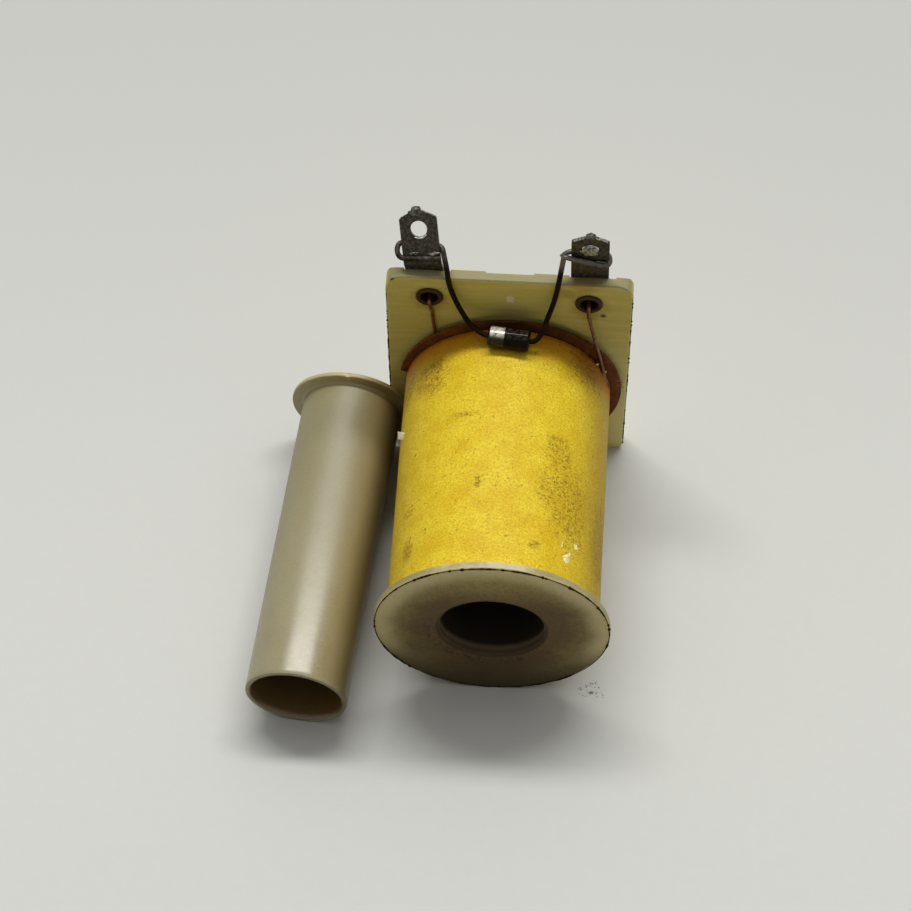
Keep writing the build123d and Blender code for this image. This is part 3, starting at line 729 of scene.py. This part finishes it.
def bar(name, path, radius, finish, sides=12, closed=False):
    """Round bar along a path. `radius` is a number, or a function of the point's index."""
    count = len(path)
    wide = radius if callable(radius) else lambda i: radius
    points, faces = [], []
    across = None
    for i, p in enumerate(path):
        before = path[(i - 1) % count] if closed or i else p
        after = path[(i + 1) % count] if closed or i < count - 1 else p
        ahead = (after - before).normalized()
        if across is None:
            across = ahead.orthogonal().normalized()
        across = (across - ahead * across.dot(ahead)).normalized()
        other = ahead.cross(across)
        for k in range(sides):
            turn = 2 * math.pi * k / sides
            points.append(p + (across * math.cos(turn) + other * math.sin(turn)) * wide(i))
    for i in range(count if closed else count - 1):
        low, high = i * sides, ((i + 1) % count) * sides
        for k in range(sides):
            n = (k + 1) % sides
            faces.append((low + k, low + n, high + n, high + k))
    if not closed:
        faces.append(tuple(reversed(range(sides))))
        faces.append(tuple(range((count - 1) * sides, count * sides)))
    return put(name, points, faces, finish)


print("bars ready")

# %% [markdown]
# A flake is a fan of rings round its middle, crumpled by chance and cut off unevenly. A Solidify
# modifier gives it the thickness of a sheet.
# %% Flakes
FLAKE_RINGS = 3
FLAKE_THICK = 0.06


def flake(name, centre, normal, along_dir, size, lift, seed, finish, rim=14):
    """Thin torn scrap of paper in the plane through centre, `lift` high in its middle."""
    draw = random.Random(seed)
    normal = Vector(normal).normalized()
    u = (Vector(along_dir) - normal * Vector(along_dir).dot(normal)).normalized()
    v = normal.cross(u)
    points = [Vector(centre) + normal * lift]
    for r in range(1, FLAKE_RINGS + 1):
        share = r / FLAKE_RINGS
        for k in range(rim):
            turn = 2 * math.pi * k / rim
            reach = share * (draw.uniform(0.62, 1.0) if r == FLAKE_RINGS else 1.0)
            up = lift * (1 - share**2) + draw.uniform(-0.25, 0.35) * lift
            flat = u * size[0] * math.cos(turn) * reach + v * size[1] * math.sin(turn) * reach
            points.append(Vector(centre) + flat + normal * max(up, 0.01))
    faces = [(0, 1 + k, 1 + (k + 1) % rim) for k in range(rim)]
    for r in range(FLAKE_RINGS - 1):
        for k in range(rim):
            a, b = 1 + r * rim + k, 1 + r * rim + (k + 1) % rim
            faces.append((a, a + rim, b + rim, b))
    made = put(name, points, faces, finish, smooth=False)
    thick = made.modifiers.new("sheet", "SOLIDIFY")
    thick.thickness = FLAKE_THICK * MM
    return made


print("flakes ready")

# %% [markdown]
# A dome is half a ball whose surface is pushed in and out by noise, as solder freezes unevenly.
# %% Domes
def dome(name, centre, axes, size, seed, finish, rough=0.5, whole=False):
    """Lump of solder: half an uneven ball, or a whole one, `size` along each of three axes."""
    rings, rim = 14 if whole else 8, 24
    points, faces = [], []
    for r in range(rings + 1):
        fall = math.pi * (0.97 if whole else 0.5) * r / rings
        for k in range(rim):
            turn = 2 * math.pi * k / rim
            ball = Vector((math.cos(turn), math.sin(turn), 0.0)) * math.sin(fall)
            ball.z = math.cos(fall)
            ball *= 1 + rough * noise.noise(ball * 1.7 + Vector((seed, seed, seed)))
            parts = [axis * reach * scale for axis, reach, scale in zip(axes, ball, size)]
            points.append(sum(parts, Vector(centre)))
    for r in range(rings):
        for k in range(rim):
            a, b = r * rim + k, r * rim + (k + 1) % rim
            faces.append((a, a + rim, b + rim, b))
    faces.append(tuple(reversed(range(rings * rim, (rings + 1) * rim))))
    return put(name, points, faces, finish)


print("domes ready")

# %% [markdown]
# ## The paper wrapper
# The sheet goes once round the winding and laps over its own start underneath. Its far edge is torn
# where the winding's last turn comes out. It is a grid of points over angle and length: the radius
# gets faint waves and a flare at the tear, and the far row follows a torn outline.
# %% Torn edge of the paper
PAPER_FRONT, PAPER_BACK = 1.20, 35.07
PAPER_SHEET = 0.17
LAP_FROM, LAP_TO, LAP_LIFT = 236.0, 270.0, 0.16
TEAR_AT, FLARE_FROM = 24.0, 32.6
ROUND, ALONG = 394, 44
TEAR = [
    (8, 0.0), (10, 0.35), (12.5, 0.85), (16, 1.0), (19, 0.85), (20.5, 0.6), (22, 0.15),
    (23.2, 0.55), (25, 0.85), (27, 0.75), (29, 0.45), (31, 0.35), (33, 0.5), (35, 0.1), (37, 0.0),
]


def torn_depth(degrees):
    """How far the far edge is torn back at an angle, in millimetres."""
    for (a, low), (b, high) in zip(TEAR, TEAR[1:]):
        if a <= degrees <= b:
            return low + (high - low) * (degrees - a) / (b - a)
    return 0.0


print("deepest tear in mm:", max(depth for _, depth in TEAR))

# %% [markdown]
# The radius steps up where the sheet laps over its own start, and Solidify gives it its thickness.
# %% Paper wrapper
points, faces = [], []
for i in range(ROUND + 1):
    degrees = LAP_FROM + i * (360 + LAP_TO - LAP_FROM) / ROUND
    wrapped = degrees % 360
    turn = math.radians(degrees)
    side, up = math.cos(turn), math.sin(turn)
    lap = min(max((degrees - 360 - LAP_FROM + 5) / 5, 0.0), 1.0) * LAP_LIFT
    edge_wave = noise.noise(Vector((side * 9, up * 9, 3.0))) * 0.05
    far = PAPER_BACK - torn_depth(wrapped) - abs(edge_wave)
    flare = math.exp(-(((wrapped - TEAR_AT) / 9) ** 2)) * 0.22
    for j in range(ALONG + 1):
        y = PAPER_FRONT + (far - PAPER_FRONT) * j / ALONG
        at = Vector((side * 2.2, y * 0.16, up * 2.2))
        wave = noise.noise(at) * 0.035 + noise.noise(at * 4.0) * 0.012
        opened = flare * max((y - FLARE_FROM) / 2.4, 0.0) ** 2
        r = PAPER_RADIUS + lap + wave - 0.02 + opened
        points.append((r * side, y, r * up))
for i in range(ROUND):
    for j in range(ALONG):
        a = i * (ALONG + 1) + j
        faces.append((a, a + ALONG + 1, a + ALONG + 2, a + 1))
wrapper = put("paper_sheet", points, faces, yellow_paper)
sheet = wrapper.modifiers.new("sheet", "SOLIDIFY")
sheet.thickness = PAPER_SHEET * MM
sheet.offset = -1.0
sheet.use_even_offset = True
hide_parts("paper_wrapper")
print("wrapper points:", len(points))

# %% [markdown]
# Scuffs lift small scraps from the sheet near the round flange, a white tab stands off its left
# side, and two points of the torn edge curl outwards. A place on the paper is an angle round the
# axis and a distance along it.
# %% Scraps of the paper
SCUFFS = [
    (48.2, 4.7, (0.98, 0.85), 0.18),
    (46.0, 5.5, (0.62, 0.42), 0.14),
    (51.8, 6.3, (0.95, 0.34), 0.12),
    (53.0, 5.5, (0.36, 0.26), 0.10),
    (41.5, 7.0, (0.60, 0.62), 0.15),
    (43.6, 6.3, (0.34, 0.40), 0.10),
    (47.5, 4.0, (0.30, 0.22), 0.09),
]
CURLS = [(22.0, 34.75, 0.5), (31.5, 34.6, 0.42)]


def on_paper(degrees, y, above):
    """A place above the sheet, and the direction out of it there."""
    turn = math.radians(degrees)
    out = Vector((math.cos(turn), 0.0, math.sin(turn)))
    return out * (PAPER_RADIUS + above) + Vector((0.0, y, 0.0)), out


for count, (degrees, y, size, lift) in enumerate(SCUFFS):
    place, out = on_paper(degrees, y, 0.04)
    flake(f"paper_scuff_{count}", place, out, (0.3, 1.0, 0.0), size, lift, 20 + count, scuff_finish)
place, out = on_paper(163.0, 24.5, 0.42)
tab_up = out + Vector((0.0, 0.65, 0.75))
flake("paper_tab", place, (0.15, -0.75, 0.65), tab_up, (0.86, 0.86), 0.05, 40, torn_white, rim=4)
for count, (degrees, y, tall) in enumerate(CURLS):
    place, out = on_paper(degrees, y, 0.22)
    flake(f"paper_point_{count}", place, (0.35, -0.9, 0.1), out, (tall, 0.2), 0.06, 50 + count,
          scuff_finish)
print("scraps:", len(SCUFFS) + len(CURLS) + 1)

# %% [markdown]
# ## The loose sleeve
# The sleeve is turned like a vase: its outline, a list of places along the axis with a radius, is
# swung round the axis. Real thin nylon is never quite round or straight, so the wall gets faint
# waves, which break up the long highlight. The lip has one nick and a slightly ragged edge.
# %% Outline of the sleeve
SLEEVE_AROUND = 144
NICK_AT, NICK_WIDE, NICK_DEEP = 92.0, 2.2, 0.22
EDGE = 0.15
EDGE_ROUNDING = [(0.03, 0.04), (0.11, 0.0)]
STILL, WALL, LIP = range(3)


def sleeve_outline():
    """Round the wall's section: how far along, the radius, and which unevenness it gets."""
    far_wall = LIP_START - 0.45
    near = [(0.0, TUBE_BORE + 0.12, STILL), (0.0, TUBE_OUTSIDE - 0.12, STILL)]
    near += [(0.03, TUBE_OUTSIDE - 0.04, STILL)]
    outer = [(0.11 + far_wall * k / 70, TUBE_OUTSIDE, WALL) for k in range(71)]
    fillet = [(LIP_START - 0.14, TUBE_OUTSIDE + 0.03, STILL)]
    fillet += [(LIP_START - 0.03, TUBE_OUTSIDE + 0.14, STILL)]
    lip = [(LIP_START, TUBE_OUTSIDE + 0.34, STILL), (LIP_START, LIP_RADIUS - EDGE, STILL)]
    lip += [(LIP_START + back, LIP_RADIUS - drop, LIP) for back, drop in EDGE_ROUNDING]
    lip += [(TUBE_LENGTH - back, LIP_RADIUS - drop, LIP) for back, drop in EDGE_ROUNDING[::-1]]
    lip += [(TUBE_LENGTH, LIP_RADIUS - EDGE, STILL), (TUBE_LENGTH, TUBE_BORE + 0.12, STILL)]
    bore_long = TUBE_LENGTH - 0.22
    bore = [(TUBE_LENGTH - 0.11 - bore_long * k / 40, TUBE_BORE, STILL) for k in range(41)]
    return near + outer + fillet + lip + bore


outline = sleeve_outline()
print("points in the outline:", len(outline))

# %% [markdown]
# Every step round the axis sets the outline down once, turned a little further, and faces join it
# to the next one.
# %% Sleeve
sleeve_right = SLEEVE_AXIS.cross(Vector((0.0, 0.0, 1.0))).normalized()
sleeve_up = sleeve_right.cross(SLEEVE_AXIS)
points, faces = [], []
for i in range(SLEEVE_AROUND):
    turn = 2 * math.pi * i / SLEEVE_AROUND
    out = sleeve_right * math.cos(turn) + sleeve_up * math.sin(turn)
    nick = math.exp(-(((math.degrees(turn) - NICK_AT) / NICK_WIDE) ** 2)) * NICK_DEEP
    for along_mm, radius, kind in outline:
        at = out * 1.6 + Vector((0.0, along_mm * 0.22, 4.0))
        uneven = {
            STILL: 0.0,
            WALL: 0.02 * noise.noise(at) + 0.006 * noise.noise(at * 5.0),
            LIP: -nick - 0.03 * abs(noise.noise(out * 9.0)),
        }[kind]
        points.append(SLEEVE_END + SLEEVE_AXIS * along_mm + out * (radius + uneven))
steps = len(outline)
for i in range(SLEEVE_AROUND):
    this, following = i * steps, (i + 1) % SLEEVE_AROUND * steps
    for j in range(steps):
        n = (j + 1) % steps
        faces.append((this + j, following + j, following + n, this + n))
shell = put("sleeve_shell", points, faces, sleeve_nylon, body="sleeve")
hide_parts("sleeve")
print("sleeve points:", len(points))

# %% [markdown]
# ## Diode leads
# A lead is soft wire that was bent by hand, so it has no true corners. The path is a list of
# points, some given beside a lug's blade: across it, up it and behind it. Cutting the corners of
# that path three times gives the easy curve of the real wire.
# %% Blades of the lugs
class Blade:
    """The flat upper part of a lug: a place on it and its three directions."""

    def __init__(self, origin, right, up, rear):
        self.origin = Vector(origin)
        self.right, self.up, self.rear = Vector(right), Vector(up), Vector(rear)

    def at(self, across, up, behind):
        return self.origin + self.right * across + self.up * up + self.rear * behind

    def axes(self):
        """Directions for a dome that stands on the front of the blade."""
        return self.right, self.up, -self.rear


left_blade = Blade((-10.654, 37.480, 23.063), (0.985, 0.0, 0.172), (-0.135, 0.616, 0.776),
                   (0.106, 0.788, -0.606))
right_blade = Blade((9.671, 37.300, 22.634), (1.0, 0.0, 0.012), (-0.012, 0.017, 1.0),
                    (0.0, 1.0, -0.017))
print("blades at", [round(v, 1) for v in (*left_blade.origin, *right_blade.origin)])

# %% [markdown]
# Each lead leaves its end of the diode, climbs to its lug, hooks round the blade and comes back
# across the front, where the solder holds it.
# %% Diode leads
LEAD_RADIUS = 0.33
cathode_path = [
    DIODE_CENTRE + DIODE_AXIS * -2.1, DIODE_CENTRE + DIODE_AXIS * -3.2,
    (-4.70, 34.10, 15.00), (-5.55, 34.80, 16.10), (-6.30, 35.25, 17.60),
    (-7.00, 35.60, 19.60), (-7.36, 35.71, 21.50), (-7.60, 36.60, 22.90),
    *[left_blade.at(*p) for p in (
        (2.70, 0.65, 0.15), (2.48, 1.50, 0.86), (0.90, 1.85, 0.84), (-1.80, 2.30, 0.84),
        (-2.76, 2.25, 0.55), (-2.98, 1.40, -0.02), (-2.60, 0.68, -0.36), (-1.75, 0.50, -0.40),
        (-0.40, 0.42, -0.40), (1.20, 0.34, -0.40), (2.40, 0.28, -0.40),
    )],
]
anode_path = [
    DIODE_CENTRE + DIODE_AXIS * 2.1, DIODE_CENTRE + DIODE_AXIS * 3.3,
    (4.35, 33.80, 14.90), (4.80, 34.75, 16.30), (5.32, 35.25, 18.00),
    (5.72, 35.60, 20.00), (5.98, 35.71, 22.20),
    *[right_blade.at(*p) for p in (
        (-3.25, 2.60, -0.40), (-3.15, 3.40, -0.40), (-2.35, 3.12, -0.40), (-0.30, 2.42, -0.40),
        (1.40, 2.00, -0.40), (2.05, 1.88, -0.38), (2.40, 2.20, 0.05), (2.22, 2.75, 0.70),
        (1.10, 2.90, 0.84), (-2.00, 3.05, 0.84), (-2.85, 2.95, 0.62), (-3.45, 2.40, 0.34),
    )],
]
for name, path in (("cathode", cathode_path), ("anode", anode_path)):
    curve = rounded(path)
    lead = bar(f"lead_{name}", curve, LEAD_RADIUS, lead_finish)
    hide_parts(f"diode_lead_{name}")
    print(name, "lead points:", len(curve))

# %% [markdown]
# ## Solder
# Solder freezes as smooth, uneven lumps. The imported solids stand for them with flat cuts, which is
# right for a collision but looks carved. A Remesh modifier turns each solid round a wire or an
# eyelet into an even skin, and Smooth melts its corners.
# %% Melted solder
for name in ("solder_wrap_left", "solder_wrap_right", "solder_eyelet_left", "solder_eyelet_right"):
    skin = nodes[name].modifiers.new("even_skin", "REMESH")
    skin.mode = "VOXEL"
    skin.voxel_size = 0.07 * MM
    skin.use_smooth_shade = True
    melt = nodes[name].modifiers.new("melt", "SMOOTH")
    melt.factor = 0.6
    melt.iterations = 7
print("melted solids: 4")

# %% [markdown]
# The plug in the right lug's hole and the bead on each lug's tip are domes, and so are the old
# traces of solder on the blades. A thin bar that swells in its middle is the bright rim that solder
# left on part of each hole.
# %% Beads and traces of solder
PLUG_CENTRE = (9.617, 37.27, 27.033)
BEADS = {
    "left": (left_blade, (-0.13, 6.40, 0.20), (0.60, 0.46, 0.40)),
    "right": (right_blade, (0.0, 6.80, 0.20), (0.62, 0.48, 0.46)),
}
TRACES = [
    ("solder_smear_left", left_blade, (-0.25, 6.05, 0.01), (0.78, 0.46, 0.10), 8.0, 0.5),
    ("solder_run_left", left_blade, (1.45, 0.80, -0.10), (0.85, 0.30, 0.42), 2.0, 0.5),
    ("solder_spill_left", left_blade, (-1.0, 0.95, -0.02), (0.70, 0.24, 0.24), 6.0, 0.6),
    ("solder_run_right", right_blade, (1.30, 2.25, -0.05), (0.80, 0.22, 0.34), 4.0, 0.5),
]
RIMS = [
    ("solder_crescent_left", left_blade, 1.14, 3.995, 238, 84),
    ("solder_rim_right", right_blade, 0.90, 4.40, 20, 150),
]
RIM_STEPS = 14

plug = dome("solder_plug_right", PLUG_CENTRE, right_blade.axes(), (1.02, 1.02, 0.22), 3.0,
            plug_finish)
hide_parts("solder_hole_right")
for side, (blade, place, size) in BEADS.items():
    bead = dome(f"solder_bead_{side}", blade.at(*place), blade.axes(), size, 5.0, solder_finish,
                0.3, whole=True)
    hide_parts(f"solder_tip_{side}")
for name, blade, place, size, seed, rough in TRACES:
    dome(name, blade.at(*place), blade.axes(), size, seed, solder_finish, rough)
for name, blade, radius, height, start, sweep in RIMS:
    path = []
    for k in range(RIM_STEPS + 1):
        turn = math.radians(start + sweep * k / RIM_STEPS)
        path.append(blade.at(radius * math.cos(turn), height + radius * math.sin(turn), 0.0))
    bar(name, path, lambda i: 0.03 + 0.10 * math.sin(math.pi * i / RIM_STEPS), bright_solder)
print("beads, traces and rims:", 1 + len(BEADS) + len(TRACES) + len(RIMS))

# %% [markdown]
# ## Ragged edges
# Where the mould's halves met, a thin ragged skin of nylon was squeezed out and has turned dark. It
# runs along the front edge of the round flange and up both sides of the terminal plate. A bar whose
# thickness jumps about along the edge gives that outline.
# %% Mould flash
FLASH_RADIUS = FLANGE_RADIUS - 0.09
FLASH_POINTS = 420
FLASH_STEP = 0.16
PLATE_SIDES = {
    "left": [(-14.83, -13.4), (-14.98, 2.0), (-15.04, 18.9), (-14.3, 20.8), (-12.9, 21.38)],
    "right": [(14.2, 20.85), (15.04, 18.9), (14.98, 2.0), (14.83, -13.4)],
}


def ragged(name, path, thin, jag, seed, closed):
    """Bar whose radius wanders between `thin` and `thin` + `jag`, with a spike here and there."""
    draw = random.Random(seed)
    sizes = []
    level = 0.5
    for _ in path:
        level = min(max(level + draw.uniform(-0.28, 0.28), 0.0), 1.0)
        spike = draw.uniform(0.4, 1.0) if draw.random() < 0.06 else 0.0
        sizes.append(thin + jag * max(level**2 * 0.45, spike))
    return bar(name, path, lambda i: sizes[i], flash_finish, sides=5, closed=closed)


rim_path = []
for k in range(FLASH_POINTS):
    turn = 2 * math.pi * k / FLASH_POINTS
    rim_path.append(Vector((FLASH_RADIUS * math.cos(turn), -0.02, FLASH_RADIUS * math.sin(turn))))
ragged("flange_flash", rim_path, 0.06, 0.18, 11, closed=True)
for side, corners in PLATE_SIDES.items():
    plate_path = []
    for (xa, za), (xb, zb) in zip(corners, corners[1:]):
        steps = max(2, int(math.hypot(xb - xa, zb - za) / FLASH_STEP))
        for k in range(steps):
            share = k / steps
            x, z = xa + (xb - xa) * share, za + (zb - za) * share
            plate_path.append(Vector((x, PLATE_FRONT, z)))
    ragged(f"plate_flash_{side}", plate_path, 0.04, 0.15, 5 + len(corners), closed=False)
print("flash: the flange's rim and both sides of the plate")

# %% [markdown]
# The end washer is cut from fibre board, and it has frayed where it was cut. A few short tapering
# bars stand out of its edge on the right.
# %% Frayed washer
FRAYS = 7
FRAY_RADIUS = 0.12
WASHER_X, WASHER_EDGE, WASHER_FRONT = 0.28, 13.85, 35.36
draw = random.Random(7)
for count in range(FRAYS):
    z = 1.4 + count * 0.27 + draw.uniform(-0.1, 0.1)
    x = WASHER_X + WASHER_EDGE * math.cos(math.asin(z / 13.9))
    root = Vector((x, WASHER_FRONT + draw.uniform(-0.12, 0.12), z))
    bend = Vector((draw.uniform(0.15, 0.55), draw.uniform(-0.35, 0.1), draw.uniform(-0.5, 0.5)))
    tip = root + bend
    middle = root.lerp(tip, 0.6) + Vector((0.05, 0, 0.1))
    path = rounded([root - Vector((0.3, 0, 0)), root, middle, tip], 2)
    last = len(path) - 1
    bar(f"washer_fray_{count}", path, lambda i: FRAY_RADIUS * (1 - 0.8 * i / last), fray_finish,
        sides=6)
print("frayed fibres:", FRAYS)
